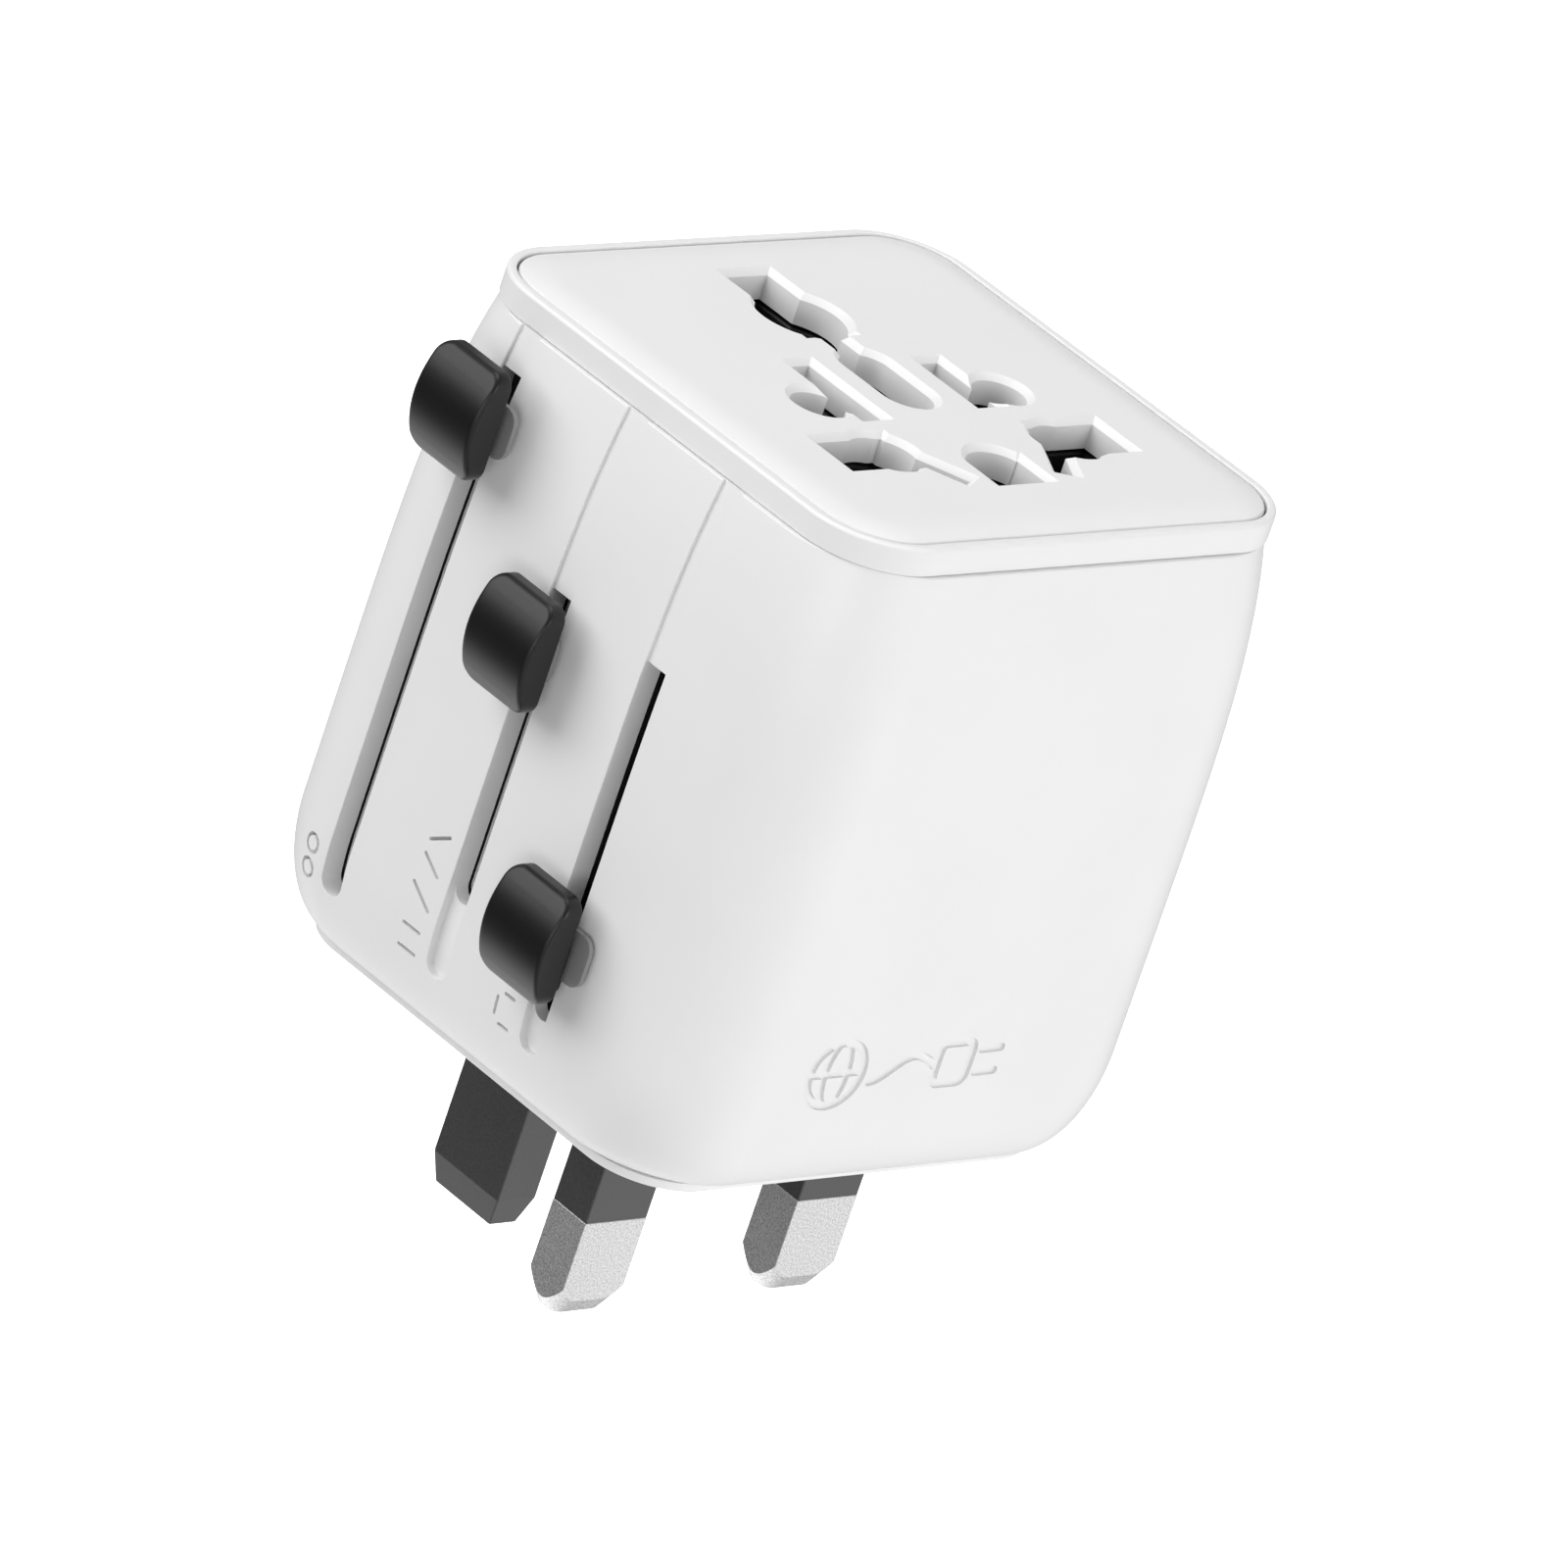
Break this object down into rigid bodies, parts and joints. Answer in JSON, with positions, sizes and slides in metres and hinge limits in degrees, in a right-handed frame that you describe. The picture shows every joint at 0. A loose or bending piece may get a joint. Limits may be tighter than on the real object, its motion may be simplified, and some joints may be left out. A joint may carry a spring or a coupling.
{
  "type": "universal travel adapter",
  "caption": "Cube-shaped travel adapter: a multi-standard socket face on top and retractable British, American/Australian and European plugs below, driven by side sliders.",
  "frame": {"origin": "centre of the plug face, the flat underside that the pins come out of", "axes": "+Z out of the socket face, -Y the plain front face, -X the face with the three sliders"},
  "size_m": [0.0555, 0.051, 0.079],
  "materials": {
    "white_plastic": "satin moulded",
    "black_plastic": "moulded",
    "knob_plastic": "satin",
    "sleeve_plastic": "fine grain",
    "nickel": "nickel plated, bead blasted",
    "brass": "stamped",
    "steel": "bright",
    "ceramic": "glazed",
    "board": "laminate"
  },
  "bodies": {
    "housing": {"body_shell": "white_plastic", "top_rim": "white_plastic", "socket_plate": "white_plastic", "base_plate": "white_plastic", "contact_carrier": "black_plastic", "slider_guide": "white_plastic", "uk_slider_guide": "black_plastic", "live_contact": "brass", "neutral_contact": "brass", "live_busbar": "brass", "neutral_busbar": "brass", "live_rail": "brass", "neutral_rail": "brass", "fuse_board": "board", "fuse_tube": "ceramic", "fuse_cap_left": "nickel", "fuse_cap_right": "nickel", "fuse_clip_left": "brass", "fuse_clip_right": "brass", "base_screw_front_left": "steel", "base_screw_front_right": "steel", "base_screw_back_left": "steel", "base_screw_back_right": "steel"},
    "uk_slider": {"uk_carriage": "black_plastic", "uk_knob": "knob_plastic", "uk_live_pin": "nickel", "uk_neutral_pin": "nickel", "uk_live_sleeve": "sleeve_plastic", "uk_neutral_sleeve": "sleeve_plastic", "uk_earth_pin": "sleeve_plastic", "uk_detent_spring": "steel"},
    "us_slider": {"us_carriage": "black_plastic", "us_knob": "knob_plastic", "us_detent_spring": "steel"},
    "left_blade": {"us_blade_left": "nickel", "us_retainer_left": "steel"},
    "right_blade": {"us_blade_right": "nickel", "us_retainer_right": "steel"},
    "eu_slider": {"eu_carriage": "black_plastic", "eu_knob": "knob_plastic", "eu_pin_left": "nickel", "eu_pin_right": "nickel", "eu_sleeve_left": "sleeve_plastic", "eu_sleeve_right": "sleeve_plastic", "eu_detent_spring": "steel"}
  },
  "joints": [
    {"name": "uk_slide", "type": "slide", "parent": "housing", "child": "uk_slider", "axis": [0, 0, 1], "range_m": [0, 0.023]},
    {"name": "us_slide", "type": "slide", "parent": "housing", "child": "us_slider", "axis": [0, 0, -1], "range_m": [0, 0.0178]},
    {"name": "eu_slide", "type": "slide", "parent": "housing", "child": "eu_slider", "axis": [0, 0, -1], "range_m": [0, 0.036]},
    {"name": "left_blade_twist", "type": "hinge", "parent": "us_slider", "child": "left_blade", "pos_m": [-0.00635, 0, 0.02], "axis": [0, 0, 1], "range_deg": [0, 30]},
    {"name": "right_blade_twist", "type": "hinge", "parent": "us_slider", "child": "right_blade", "pos_m": [0.00635, 0, 0.02], "axis": [0, 0, -1], "range_deg": [0, 30]}
  ]
}
